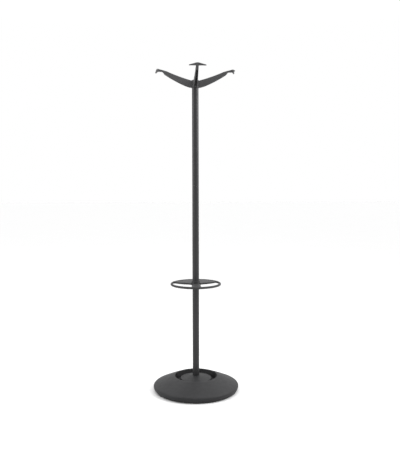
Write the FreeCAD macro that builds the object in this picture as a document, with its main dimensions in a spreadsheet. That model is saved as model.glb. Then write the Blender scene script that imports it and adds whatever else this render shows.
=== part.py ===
import FreeCAD, Part
import math
import os
import re
import Sketcher

# Standing coat rack: a weighted round base with a drip groove, a two-piece steel pole,
# an umbrella ring clamped on the pole, and a hub with three hook arms.
# Origin: the pole's axis at floor level. +Z is up, -Y is the front. Millimetres.

# The driving dimensions, one cell each: meaning, name, value.
SIZES = (
    ("turn of the arms and the ring about the pole, degrees", "head_turn", 3.5),
    ("lean of the side arms towards the front, degrees", "side_lean", 4.5),
    ("pole tube, outer radius", "tube_radius", 17.5),
    ("pole tube, wall", "tube_wall", 1.5),
    ("slip between a tube and the piece inside it", "slip", 0.05),
    ("gap between neighbouring pieces", "gap", 0.3),
    ("lower end of the pole", "pole_foot", 72),
    ("seam between the two tubes", "seam_height", 1084),
    ("upper end of the pole", "pole_top", 1602),
    ("base cover, radius of its lower edge", "foot_radius", 217),
    ("base cover, widest radius", "belt_radius", 225),
    ("base cover, height of the widest radius", "belt_height", 24),
    ("base cover, radius where the belt meets the slope", "slope_radius", 218),
    ("base cover, height where the belt meets the slope", "slope_height", 33.5),
    ("base cover, radius of the groove's rim", "rim_radius", 110.6),
    ("base cover, height of the groove's rim", "rim_height", 76.5),
    ("base cover, floor of the groove", "groove_floor", 40),
    ("base cover, radius of the raised middle", "island_radius", 82.5),
    ("base cover, height of the raised middle's edge", "island_height", 64),
    ("base cover, height of the raised middle at the pole", "crown_height", 77),
    ("base cover, wall", "cover_wall", 3),
    ("height of the rubber feet", "foot_height", 4),
    ("radius of a rubber foot", "pad_radius", 14),
    ("radius of a rubber foot's stem", "stem_radius", 4),
    ("how far out the feet and the cover screws sit", "screw_circle", 191),
    ("cover boss, radius", "boss_radius", 6),
    ("cover boss, height of its top", "boss_top", 41),
    ("cover screw, radius", "cover_screw_radius", 1.6),
    ("cover screw, radius of its head", "cover_screw_head", 4),
    ("cover screw, height of its tip", "cover_screw_tip", 26),
    ("ballast, radius of its bore", "ballast_bore", 15),
    ("ballast, height of its outer wall", "ballast_shoulder", 42),
    ("base plate, radius", "plate_radius", 212),
    ("base plate, thickness", "plate_wall", 3),
    ("base plate, radius of the raised dish", "dish_radius", 26),
    ("base plate, height of the raised dish", "dish_height", 11),
    ("pole bolt, radius", "bolt_radius", 6),
    ("pole bolt, radius of its washer", "washer_radius", 16),
    ("base spacer, radius", "spacer_radius", 13),
    ("pole bolt, half of its head's flats", "bolt_flats", 9.5),
    ("pole bolt, height of its head", "bolt_head", 7.5),
    ("washer thickness", "washer_wall", 2.5),
    ("threaded plug, length", "plug_length", 30),
    ("hub, radius", "hub_radius", 20),
    ("hub, height of its top face", "hub_top", 1641),
    ("hub, length of its spigot in the tube", "spigot_length", 22),
    ("hub cap, rise of its domed top", "cap_rise", 2.6),
    ("hub screw, radius", "hub_screw_radius", 4),
    ("hub screw, seat of its head", "hub_screw_seat", 1622),
    ("hub screw, radius of its head", "hub_screw_head", 6.5),
    ("hub washer, radius", "hub_washer_radius", 7.6),
    ("hub washer, thickness", "hub_washer_wall", 1.6),
    ("hub, radius of the well for the screw's head", "hub_well", 8),
    ("arm tongue, half width", "tongue_half", 5.8),
    ("arm tongue, inner end", "tongue_inner", 12),
    ("arm tongue, lower end", "tongue_low", 1612),
    ("arm tongue, upper end", "tongue_top", 1636),
    ("arm screw, how far out", "arm_screw_reach", 16),
    ("arm screw, radius", "arm_screw_radius", 2),
    ("arm screw, radius of its head", "arm_screw_head", 3.4),
    ("arm screw, depth of its thread in the hub", "arm_screw_depth", 7),
    ("arm, half width at the hub", "arm_root_half", 11),
    ("arm, half width at the neck", "arm_neck_half", 6.9),
    ("arm, where its taper starts", "taper_start", 30),
    ("arm, belly of its lower edge, how far out", "belly_reach", 60),
    ("arm, belly of its lower edge, height", "belly_height", 1614.5),
    ("arm, lower corner of the blade's end, how far out", "chin_reach", 163),
    ("arm, lower corner of the blade's end, height", "chin_height", 1669.5),
    ("arm, underside of the neck, height", "neck_low", 1683.5),
    ("arm, where its upper edge changes curve, how far out", "brow_reach", 150),
    ("arm, where its upper edge changes curve, height", "brow_height", 1686),
    ("arm, start of the hollow", "hollow_start", 28),
    ("arm, skin over the hollow", "arm_skin", 3.1),
    ("arm, how far the ribs stay above the lower edge", "rib_lift", 9),
    ("arm, wall of its hollow underside", "arm_wall", 2.6),
    ("arm, thickness of a rib", "rib_wall", 1.8),
    ("arm, distance between ribs", "rib_pitch", 22),
    ("arm, first rib", "rib_start", 46),
    ("arm, where the neck starts", "neck_start", 174),
    ("arm, where the hook head is centred", "head_reach", 197),
    ("arm, highest point of the hook head", "head_top", 1698),
    ("arm, lower edge of the hook head", "head_low", 1681.5),
    ("hook head, half span", "head_half_span", 44),
    ("hook head, half depth in the middle", "head_half_depth", 7),
    ("hook head, outward sweep of its tips", "head_sweep", 8),
    ("umbrella ring, height", "ring_height", 563),
    ("umbrella ring, radius of the hoop", "ring_radius", 128.5),
    ("umbrella ring, radius of the hoop's rod", "rod_radius", 6),
    ("umbrella ring, thickness of the spokes", "spoke_wall", 10),
    ("umbrella ring, half width of a spoke at the hub", "spoke_root_half", 20),
    ("umbrella ring, half width of a spoke outside the collar", "spoke_waist_half", 16),
    ("umbrella ring, where a spoke's taper starts", "spoke_waist", 35),
    ("umbrella ring, half width of a spoke at the hoop", "spoke_tip_half", 10),
    ("umbrella ring, half width of the rear web beside the collar", "web_root_half", 26),
    ("umbrella ring, thickness of the rear web", "web_wall", 8),
    ("umbrella ring, collar radius", "collar_radius", 21.8),
    ("umbrella ring, collar height", "collar_height", 34),
    ("umbrella ring, running clearance on the tube", "running", 0.08),
    ("umbrella ring, height of the set screw", "set_screw_height", 573),
    ("umbrella ring, radius of the set screw", "set_screw_radius", 3),
    ("umbrella ring, radius of the threaded insert", "insert_radius", 4.5),
    ("umbrella ring, length of the threaded insert", "insert_length", 11),
    ("umbrella ring, radius of the screw boss", "ring_boss_radius", 6.5),
    ("umbrella ring, reach of the screw boss", "ring_boss_reach", 34),
)

ACROSS_FLATS_TO_CORNER = 1.1547  # a hexagon's corner distance over half of its flats
ARMS = (("arm_right", "-side_lean"), ("arm_left", "180 + side_lean"), ("arm_front", "-90"))
RIBS = 6
AROUND = 6  # rubber feet, and cover screws

doc = FreeCAD.newDocument("CoatRack")
sheet = doc.addObject("Spreadsheet::Sheet", "Sizes")
parts = []


def fill_sheet():
    """Put every driving dimension in the sheet: its meaning, its value and its name."""
    for row, (meaning, alias, number) in enumerate(SIZES, start=1):
        sheet.set(f"A{row}", meaning)
        sheet.set(f"B{row}", str(number))
        sheet.setAlias(f"B{row}", alias)
    doc.recompute()


def linked(expression):
    """The expression with each size's name turned into its cell of the sheet."""
    return re.sub(r"\b([a-z]\w*)\b(?!\()", r"Sizes.\1", expression)


def value(expression):
    """What an expression on the sheet's names comes to now."""
    return float(sheet.evalExpression(expression))


def bind(thing, prop, expression):
    """Tie a property to the sheet."""
    thing.setExpression(prop, linked(expression))


def finished(thing, label):
    """Name a sub-part and put it on the list of parts to write."""
    thing.Label = label
    parts.append(thing)
    return thing


def turn_about_pole(thing, angle):
    """Turn a sub-part about the pole by an angle in degrees, given as an expression."""
    up = FreeCAD.Vector(0, 0, 1)
    turned = FreeCAD.Rotation(up, value(angle) or 1)
    thing.Placement = FreeCAD.Placement(FreeCAD.Vector(0, 0, 0), turned)
    bind(thing, "Placement.Rotation.Angle", angle)


# ---- sketches -------------------------------------------------------------------------


def origin_feature(body, role):
    """One of a body's own origin planes or axes."""
    return next(item for item in body.Origin.OriginFeatures if item.Role == role)


def sketch_in(body, role, lift="0"):
    """An empty sketch on a body's own origin plane, lifted off it along its normal."""
    sketch = body.newObject("Sketcher::SketchObject", "Sketch")
    sketch.AttachmentSupport = (origin_feature(body, role), [""])
    sketch.MapMode = "FlatFace"
    bind(sketch, "AttachmentOffset.Base.z", lift)
    return sketch


def free_sketch(rotation):
    """An empty sketch through the origin that belongs to no body."""
    sketch = doc.addObject("Sketcher::SketchObject", "Sketch")
    sketch.Placement = FreeCAD.Placement(FreeCAD.Vector(0, 0, 0), rotation)
    return sketch


def pin(sketch, geometry, vertex, across, up):
    """Hold one point of a sketch at a place given by two expressions."""
    for kind, expression in (("DistanceX", across), ("DistanceY", up)):
        rule = Sketcher.Constraint(kind, -1, 1, geometry, vertex, value(expression))
        index = sketch.addConstraint(rule)
        bind(sketch, f"Constraints[{index}]", expression)


def set_radius(sketch, geometry, expression):
    """Give an arc or circle of a sketch a radius from the sheet."""
    index = sketch.addConstraint(Sketcher.Constraint("Radius", geometry, abs(value(expression))))
    bind(sketch, f"Constraints[{index}]", f"abs({expression})")


def bent(start, finish, radius):
    """Arc between two points, and whether it runs forward: a positive radius turns left."""
    chord = finish - start
    left = FreeCAD.Vector(-chord.y, chord.x, 0).normalize()
    reach = math.sqrt(radius**2 - chord.Length**2 / 4)
    centre = (start + finish) * 0.5 + left * math.copysign(reach, radius)
    first = math.atan2(start.y - centre.y, start.x - centre.x)
    last = math.atan2(finish.y - centre.y, finish.x - centre.x)
    circle = Part.Circle(centre, FreeCAD.Vector(0, 0, 1), abs(radius))
    if radius > 0:
        return Part.ArcOfCircle(circle, first, last), True
    return Part.ArcOfCircle(circle, last, first), False


def outline(sketch, corners):
    """Closed outline. A corner is (across, up), or (across, up, radius of the arc that leaves it)."""
    places = [FreeCAD.Vector(value(corner[0]), value(corner[1]), 0) for corner in corners]
    sides = []
    for index, corner in enumerate(corners):
        start = places[index]
        finish = places[(index + 1) % len(places)]
        if len(corner) == 2:
            sides.append((sketch.addGeometry(Part.LineSegment(start, finish)), 1, 2))
            continue
        arc, forward = bent(start, finish, value(corner[2]))
        geometry = sketch.addGeometry(arc)
        sides.append((geometry, 1, 2) if forward else (geometry, 2, 1))
    for index, (geometry, first, last) in enumerate(sides):
        next_geometry, next_first, _ = sides[(index + 1) % len(sides)]
        rule = Sketcher.Constraint("Coincident", geometry, last, next_geometry, next_first)
        sketch.addConstraint(rule)
        pin(sketch, geometry, first, corners[index][0], corners[index][1])
        if len(corners[index]) == 3:
            set_radius(sketch, geometry, corners[index][2])
    return sketch


def circle(sketch, across, up, radius):
    """A circle in a sketch."""
    start = FreeCAD.Vector(value(across), value(up), 0)
    geometry = sketch.addGeometry(Part.Circle(start, FreeCAD.Vector(0, 0, 1), value(radius)))
    pin(sketch, geometry, 3, across, up)
    set_radius(sketch, geometry, radius)
    return sketch


def rectangle(sketch, left, low, right, high):
    """An upright rectangle in a sketch."""
    return outline(sketch, ((left, low), (right, low), (right, high), (left, high)))


# ---- features -------------------------------------------------------------------------


def new_body():
    """An empty body. Its solids may lie apart, as a group of like fasteners does."""
    body = doc.addObject("PartDesign::Body", "Body")
    body.AllowCompound = True
    return body


def revolved(body, corners):
    """Turn an outline of (radius, height) corners about the pole's axis."""
    sketch = outline(sketch_in(body, "XZ_Plane"), corners)
    feature = body.newObject("PartDesign::Revolution", "Turning")
    feature.Profile = sketch
    feature.ReferenceAxis = (sketch, ["V_Axis"])
    feature.Angle = 360
    return feature


def raised(body, sketch, length):
    """Pad a sketch along its normal."""
    feature = body.newObject("PartDesign::Pad", "Pad")
    feature.Profile = sketch
    bind(feature, "Length", length)
    return feature


def sunk(body, sketch, length):
    """Cut a sketch against its normal."""
    feature = body.newObject("PartDesign::Pocket", "Pocket")
    feature.Profile = sketch
    bind(feature, "Length", length)
    return feature


def disc(body, radius, low, high, away="0"):
    """A round pad between two heights, away from the pole along +X."""
    sketch = circle(sketch_in(body, "XY_Plane", low), away, "0", radius)
    return raised(body, sketch, f"({high}) - ({low})")


def hole(body, radius, low, high, away="0"):
    """A round hole between two heights, away from the pole along +X."""
    sketch = circle(sketch_in(body, "XY_Plane", high), away, "0", radius)
    return sunk(body, sketch, f"({high}) - ({low})")


def around(body, features, count):
    """Repeat features evenly about the pole, and make that the body's result."""
    pattern = body.newObject("PartDesign::PolarPattern", "Around")
    pattern.Originals = features
    pattern.Axis = (origin_feature(body, "Z_Axis"), [""])
    pattern.Angle = 360
    pattern.Occurrences = count
    body.Tip = pattern
    return pattern


def turned_part(label, corners):
    """A sub-part that is one turned piece."""
    body = new_body()
    revolved(body, corners)
    return finished(body, label)


def ring_corners(inner, outer, low, high):
    """Section of a plain tube, washer or plug."""
    return ((inner, low), (outer, low), (outer, high), (inner, high))


def extruded(sketch, length, symmetric):
    """Solid prism on a free sketch."""
    prism = doc.addObject("Part::Extrusion", "Prism")
    prism.Base = sketch
    prism.DirMode = "Normal"
    prism.Solid = True
    prism.Symmetric = symmetric
    bind(prism, "LengthFwd", length)
    return prism


def common(first, second):
    """What two solids share."""
    feature = doc.addObject("Part::Common", "Common")
    feature.Base = first
    feature.Tool = second
    return feature


def cut(first, second):
    """The first solid less the second."""
    feature = doc.addObject("Part::Cut", "Cut")
    feature.Base = first
    feature.Tool = second
    return feature


def fused(solids):
    """Several solids as one."""
    feature = doc.addObject("Part::MultiFuse", "Fusion")
    feature.Shapes = solids
    return feature


def block(length, width, height, left, front, low):
    """A box with its sides along the axes."""
    box = doc.addObject("Part::Box", "Block")
    for prop, expression in (("Length", length), ("Width", width), ("Height", height)):
        bind(box, prop, expression)
    for axis, expression in (("x", left), ("y", front), ("z", low)):
        bind(box, f"Placement.Base.{axis}", expression)
    return box


def post(radius, away, low, high):
    """An upright cylinder, away from the pole along +X."""
    rod = doc.addObject("Part::Cylinder", "Post")
    bind(rod, "Radius", radius)
    bind(rod, "Height", f"({high}) - ({low})")
    bind(rod, "Placement.Base.x", away)
    bind(rod, "Placement.Base.z", low)
    return rod


# ---- base -----------------------------------------------------------------------------


def base_cover():
    """Moulded cover: tucked-in side, belt, slope, drip groove, raised middle with the pole's seat."""
    body = new_body()
    revolved(
        body,
        (
            ("foot_radius", "foot_height", "28"),
            ("belt_radius", "belt_height", "11"),
            ("slope_radius", "slope_height", "1600"),
            ("rim_radius + 3", "rim_height", "3.2"),
            ("rim_radius", "rim_height - 3"),
            ("rim_radius - 4", "groove_floor + 5", "-5"),
            ("rim_radius - 9", "groove_floor"),
            ("island_radius + 7", "groove_floor", "-5"),
            ("island_radius + 2", "groove_floor + 5"),
            ("island_radius", "island_height - 3", "3.5"),
            ("island_radius - 3", "island_height"),
            ("tube_radius + gap", "crown_height"),
            ("tube_radius + gap", "pole_foot"),
            ("bolt_radius + 1", "pole_foot"),
            ("bolt_radius + 1", "pole_foot - cover_wall"),
            ("tube_radius + cover_wall", "pole_foot - cover_wall"),
            ("tube_radius + 2 * cover_wall", "crown_height - 1.4 * cover_wall"),
            ("island_radius - 1.6 * cover_wall", "island_height - cover_wall"),
            ("island_radius - cover_wall", "island_height - 2 * cover_wall"),
            ("island_radius + 2 - cover_wall", "groove_floor - cover_wall"),
            ("rim_radius - 4 + cover_wall", "groove_floor - cover_wall"),
            ("rim_radius + cover_wall", "rim_height - 2 * cover_wall"),
            ("rim_radius + 2 * cover_wall", "rim_height - 1.4 * cover_wall"),
            ("slope_radius - 1.2 * cover_wall", "slope_height - cover_wall", "-8"),
            ("belt_radius - cover_wall", "belt_height", "-25"),
            ("foot_radius - cover_wall", "foot_height"),
        ),
    )
    boss_low = "foot_height + plate_wall"
    boss = disc(body, "boss_radius", boss_low, "boss_top", "screw_circle")
    around(body, [boss], AROUND)
    bore = hole(body, "cover_screw_radius + 0.1", boss_low, "cover_screw_tip + 4", "screw_circle")
    around(body, [bore], AROUND)
    return finished(body, "base_cover")


def base_plate():
    """Steel plate with a raised dish for the bolt head, and holes for feet and screws."""
    body = new_body()
    top = "foot_height + plate_wall"
    revolved(
        body,
        (
            ("bolt_radius + 1", "foot_height + dish_height"),
            ("dish_radius", "foot_height + dish_height"),
            ("dish_radius + 7", "foot_height"),
            ("plate_radius", "foot_height"),
            ("plate_radius", top),
            ("dish_radius + 8.5", top),
            ("dish_radius + 1.5", "foot_height + dish_height + plate_wall"),
            ("bolt_radius + 1", "foot_height + dish_height + plate_wall"),
        ),
    )
    screw_hole = hole(body, "cover_screw_radius + 0.7", "foot_height - 1", f"{top} + 1", "screw_circle")
    around(body, [screw_hole], AROUND)
    stem_sketch = sketch_in(body, "XY_Plane", f"{top} + 1")
    circle(stem_sketch, "screw_circle * cos(30)", "screw_circle * sin(30)", "stem_radius + gap")
    stem_hole = sunk(body, stem_sketch, "plate_wall + 2")
    around(body, [stem_hole], AROUND)
    return finished(body, "base_plate")


def ballast():
    """Cast ring of concrete that fills the cover, with a channel under the drip groove."""
    clear = "cover_wall - 1.5"
    return turned_part(
        "ballast",
        (
            ("ballast_bore", "foot_height + dish_height + plate_wall + 1"),
            ("dish_radius + 3", "foot_height + dish_height + plate_wall + 1"),
            ("dish_radius + 11", "foot_height + plate_wall + 0.5"),
            ("screw_circle - 8", "foot_height + plate_wall + 0.5"),
            ("screw_circle - 8", "ballast_shoulder"),
            ("rim_radius + 9", f"rim_height - 7 - {clear}"),
            ("rim_radius + 5", f"rim_height - 9 - {clear}"),
            ("rim_radius + 1.5", "groove_floor - 5"),
            ("island_radius - 3", "groove_floor - 5"),
            ("island_radius - 5", "island_height - 9"),
            ("tube_radius + 8", "crown_height - 9"),
            ("ballast_bore", "crown_height - 9.5"),
        ),
    )


def base_hardware():
    """Rubber feet, cover screws, pole bolt with its washer, and the sleeve it is tightened against."""
    feet = new_body()
    pad = disc(feet, "pad_radius", "0", "foot_height", "screw_circle")
    stem = disc(feet, "stem_radius", "foot_height", "foot_height + plate_wall + 2", "screw_circle")
    around(feet, [pad, stem], AROUND)
    turn_about_pole(feet, "30")
    finished(feet, "foot_pads")

    screws = new_body()
    head = disc(screws, "cover_screw_head", "foot_height - 2.4", "foot_height", "screw_circle")
    shank = disc(screws, "cover_screw_radius", "foot_height", "cover_screw_tip", "screw_circle")
    around(screws, [head, shank], AROUND)
    finished(screws, "cover_screws")

    dish = "foot_height + dish_height"
    washer = ring_corners("bolt_radius + gap", "washer_radius", f"{dish} - washer_wall", dish)
    turned_part("bolt_washer", washer)
    bolt = new_body()
    head_low = f"{dish} - washer_wall - bolt_head"
    sketch = sketch_in(bolt, "XY_Plane", head_low)
    corner = f"bolt_flats * {ACROSS_FLATS_TO_CORNER}"
    outline(
        sketch,
        (
            (corner, "0"),
            (f"{corner} / 2", "bolt_flats"),
            (f"-{corner} / 2", "bolt_flats"),
            (f"-{corner}", "0"),
            (f"-{corner} / 2", "-bolt_flats"),
            (f"{corner} / 2", "-bolt_flats"),
        ),
    )
    raised(bolt, sketch, "bolt_head")
    disc(bolt, "bolt_radius", f"{dish} - washer_wall", "pole_foot + plug_length")
    finished(bolt, "pole_bolt")
    turned_part(
        "base_spacer",
        ring_corners("bolt_radius + 1", "spacer_radius", f"{dish} + plate_wall", "pole_foot - cover_wall"),
    )


# ---- pole -----------------------------------------------------------------------------


def pole():
    """Two tubes, the threaded plugs in their ends, and the stud that joins them."""
    inner = "tube_radius - tube_wall"
    plug = f"{inner} - slip"
    thread = "bolt_radius + slip"
    seam = "seam_height"
    turned_part("lower_tube", ring_corners(inner, "tube_radius", "pole_foot", seam))
    turned_part("upper_tube", ring_corners(inner, "tube_radius", f"{seam} + gap", "pole_top"))
    turned_part("lower_insert", ring_corners(thread, plug, "pole_foot", "pole_foot + plug_length + 4"))
    turned_part("lower_joint_plug", ring_corners(thread, plug, f"{seam} - plug_length", seam))
    upper_low = f"{seam} + gap"
    turned_part("upper_joint_plug", ring_corners(thread, plug, upper_low, f"{upper_low} + plug_length"))
    stud_half = "plug_length - 4"
    turned_part(
        "joint_stud",
        (
            ("0", f"{seam} - {stud_half}"),
            ("bolt_radius", f"{seam} - {stud_half}"),
            ("bolt_radius", f"{seam} + {stud_half}"),
            ("0", f"{seam} + {stud_half}"),
        ),
    )
    insert_top = "pole_top - spigot_length - 5"
    turned_part(
        "top_insert",
        ring_corners("hub_screw_radius + slip", plug, f"{insert_top} - plug_length", insert_top),
    )


# ---- umbrella ring --------------------------------------------------------------------


def umbrella_ring():
    """One moulding: hoop, three tapered spokes, a web that fills the rear third, a collar and a boss."""
    body = new_body()
    hoop = circle(sketch_in(body, "XZ_Plane"), "ring_radius", "ring_height", "rod_radius")
    turning = body.newObject("PartDesign::Revolution", "Hoop")
    turning.Profile = hoop
    turning.ReferenceAxis = (hoop, ["V_Axis"])
    turning.Angle = 360
    half = "collar_height / 2"
    disc(body, "collar_radius", f"ring_height - {half}", f"ring_height + {half}")
    spoke_low = "ring_height - spoke_wall / 2"
    spoke = sketch_in(body, "XY_Plane", spoke_low)
    outline(
        spoke,
        (
            ("-spoke_root_half", "0"),
            ("-spoke_waist_half", "-spoke_waist", "-110"),
            ("-spoke_tip_half", "-ring_radius"),
            ("spoke_tip_half", "-ring_radius", "-110"),
            ("spoke_waist_half", "-spoke_waist"),
            ("spoke_root_half", "0"),
        ),
    )
    around(body, [raised(body, spoke, "spoke_wall")], 3)
    web = sketch_in(body, "XY_Plane", "ring_height - web_wall / 2")
    outline(
        web,
        (
            ("-web_root_half", "10"),
            ("web_root_half", "10"),
            ("ring_radius * cos(30)", "ring_radius * sin(30)", "ring_radius"),
            ("-ring_radius * cos(30)", "ring_radius * sin(30)"),
        ),
    )
    raised(body, web, "web_wall")
    boss_end = circle(sketch_in(body, "XZ_Plane"), "0", "set_screw_height", "ring_boss_radius")
    boss = raised(body, boss_end, "ring_boss_reach")
    boss.Reversed = True
    hole(body, "tube_radius + running", f"ring_height - {half} - 1", f"ring_height + {half} + 1")
    insert_hole = circle(sketch_in(body, "XZ_Plane"), "0", "set_screw_height", "insert_radius + slip")
    sunk(body, insert_hole, "ring_boss_reach + 6")
    turn_about_pole(body, "head_turn")
    return finished(body, "umbrella_ring")


def ring_clamp():
    """Brass insert in the ring's boss, and the set screw that grips the tube."""
    insert = new_body()
    plane = sketch_in(insert, "XZ_Plane", "-ring_boss_reach + 0.4")
    sketch = circle(plane, "0", "set_screw_height", "insert_radius")
    circle(sketch, "0", "set_screw_height", "set_screw_radius + slip")
    raised(insert, sketch, "insert_length")
    turn_about_pole(insert, "head_turn")
    finished(insert, "ring_screw_insert")

    screw = new_body()
    plane = sketch_in(screw, "XZ_Plane", "-ring_boss_reach")
    sketch = circle(plane, "0", "set_screw_height", "set_screw_radius")
    raised(screw, sketch, "ring_boss_reach - tube_radius - running - 0.1")
    socket_floor = sketch_in(screw, "XZ_Plane", "-ring_boss_reach + 3")
    sunk(screw, circle(socket_floor, "0", "set_screw_height", "set_screw_radius / 2"), "4")
    turn_about_pole(screw, "head_turn")
    finished(screw, "ring_set_screw")


# ---- hub and arms ---------------------------------------------------------------------


def turned_place(across, up, angle):
    """A place in a level sketch after a turn about the pole."""
    return (
        f"({across}) * cos({angle}) - ({up}) * sin({angle})",
        f"({across}) * sin({angle}) + ({up}) * cos({angle})",
    )


def arm_hub():
    """Hub that stands on the tube: spigot, three slots for the arms' tongues, bore for the screw."""
    body = new_body()
    spigot = "tube_radius - tube_wall - slip"
    revolved(
        body,
        (
            ("hub_screw_radius + 0.5", "pole_top - spigot_length"),
            (f"{spigot} - 1", "pole_top - spigot_length"),
            (spigot, "pole_top - spigot_length + 2"),
            (spigot, "pole_top + gap"),
            ("hub_radius - 1.5", "pole_top + gap", "1.6"),
            ("hub_radius", "pole_top + gap + 1.5"),
            ("hub_radius", "hub_top"),
            ("hub_well", "hub_top"),
            ("hub_well", "hub_screw_seat"),
            ("hub_screw_radius + 0.5", "hub_screw_seat"),
        ),
    )
    slots = sketch_in(body, "XY_Plane", "hub_top")
    pilots = sketch_in(body, "XY_Plane", "tongue_low")
    for _, angle in ARMS:
        slot = ring_corners("tongue_inner - gap", "hub_radius + 2", "-tongue_half - 0.1", "tongue_half + 0.1")
        outline(slots, [turned_place(across, up, angle) for across, up in slot])
        across, up = turned_place("arm_screw_reach", "0", angle)
        circle(pilots, across, up, "arm_screw_radius + slip")
    sunk(body, slots, "hub_top - tongue_low + gap")
    sunk(body, pilots, "arm_screw_depth + 1")
    turn_about_pole(body, "head_turn")
    return finished(body, "arm_hub")


def arm_blade():
    """Outside of an arm without its head: its side view and its top view in common."""
    upright = FreeCAD.Rotation(FreeCAD.Vector(1, 0, 0), 90)
    side = outline(
        free_sketch(upright),
        (
            ("hub_radius - 6", "pole_top - 0.5", "190"),
            ("belly_reach", "belly_height", "700"),
            ("chin_reach", "chin_height"),
            ("chin_reach + 9", "neck_low - 2.2", "-14"),
            ("chin_reach + 18", "neck_low"),
            ("head_reach", "neck_low + 0.5"),
            ("head_reach + 2", "head_top - 2"),
            ("head_reach - 4", "head_top - 1", "500"),
            ("brow_reach", "brow_height", "-1000"),
            ("hub_radius - 6", "hub_top - 2.5"),
        ),
    )
    plan = outline(
        free_sketch(FreeCAD.Rotation()),
        (
            ("0", "-arm_root_half"),
            ("taper_start", "-arm_root_half", "-4000"),
            ("neck_start", "-arm_neck_half"),
            ("head_reach + 4", "-arm_neck_half"),
            ("head_reach + 4", "arm_neck_half"),
            ("neck_start", "arm_neck_half", "-4000"),
            ("taper_start", "arm_root_half"),
            ("0", "arm_root_half"),
        ),
    )
    return common(extruded(side, "4 * arm_root_half", True), extruded(plan, "1.1 * head_top", False))


def arm_hollow():
    """Space under an arm, open below, divided by cross ribs that stay inside its lower edge."""
    upright = FreeCAD.Rotation(FreeCAD.Vector(1, 0, 0), 90)
    side = outline(
        free_sketch(upright),
        (
            ("hollow_start", "pole_top - 8"),
            ("chin_reach - 4", "chin_height - 20"),
            ("chin_reach - 4", "brow_height"),
            ("brow_reach", "brow_height - arm_skin", "-1000"),
            ("hollow_start", "hub_top - 1.5"),
        ),
    )
    plan = outline(
        free_sketch(FreeCAD.Rotation()),
        (
            ("hollow_start", "-arm_root_half + arm_wall"),
            ("taper_start", "-arm_root_half + arm_wall", "-4000"),
            ("neck_start", "-arm_neck_half + arm_wall"),
            ("neck_start", "arm_neck_half - arm_wall", "-4000"),
            ("taper_start", "arm_root_half - arm_wall"),
            ("hollow_start", "arm_root_half - arm_wall"),
        ),
    )
    room = common(extruded(side, "4 * arm_root_half", True), extruded(plan, "1.1 * head_top", False))
    below = outline(
        free_sketch(upright),
        (
            ("0", "pole_top - 40"),
            ("head_reach", "pole_top - 40"),
            ("head_reach", "neck_low + rib_lift"),
            ("chin_reach", "chin_height + rib_lift"),
            ("belly_reach", "belly_height + rib_lift"),
            ("0", "pole_top + rib_lift"),
        ),
    )
    ribs = []
    for index in range(RIBS):
        left = f"rib_start + {index} * rib_pitch"
        width = "4 * arm_root_half"
        ribs.append(block("rib_wall", width, "100", left, f"-({width}) / 2", "hub_top - 50"))
    return cut(room, cut(fused(ribs), extruded(below, "8 * arm_root_half", True)))


def hook_head():
    """Drooping cross-piece at an arm's end: its front view and its top view in common."""
    facing = FreeCAD.Rotation(FreeCAD.Vector(1, 1, 1), 120)
    front = outline(
        free_sketch(facing),
        (
            ("-head_half_span + 2", "head_low", "-900"),
            ("head_half_span - 2", "head_low", "2.6"),
            ("head_half_span - 1.5", "head_low + 4.6", "-400"),
            ("9", "head_top - 1.2", "24"),
            ("-9", "head_top - 1.2", "-400"),
            ("-head_half_span + 1.5", "head_low + 4.6", "2.6"),
        ),
    )
    plan = outline(
        free_sketch(FreeCAD.Rotation()),
        (
            ("head_reach - head_half_depth", "0", "-95"),
            ("head_reach + head_sweep - 4", "-head_half_span", "4.3"),
            ("head_reach + head_sweep + 4", "-head_half_span + 2", "240"),
            ("head_reach + head_half_depth", "0", "240"),
            ("head_reach + head_sweep + 4", "head_half_span - 2", "4.3"),
            ("head_reach + head_sweep - 4", "head_half_span", "-95"),
        ),
    )
    return common(extruded(front, "1.4 * head_reach", False), extruded(plan, "1.1 * head_top", False))


def arm(label, angle):
    """One hook arm: hollow blade, hook head, and the tongue that drops into the hub's slot."""
    outside = fused([arm_blade(), hook_head()])
    carved = cut(outside, fused([arm_hollow(), post("hub_radius + gap", "0", "pole_top - 40", "head_top")]))
    tongue = block(
        "hub_radius + 5 - tongue_inner",
        "2 * tongue_half",
        "tongue_top - tongue_low",
        "tongue_inner",
        "-tongue_half",
        "tongue_low",
    )
    screw_way = post("arm_screw_radius + gap", "arm_screw_reach", "tongue_low - 1", "tongue_top + 1")
    piece = cut(fused([carved, tongue]), screw_way)
    turn_about_pole(piece, f"head_turn + ({angle})")
    return finished(piece, label)


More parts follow.
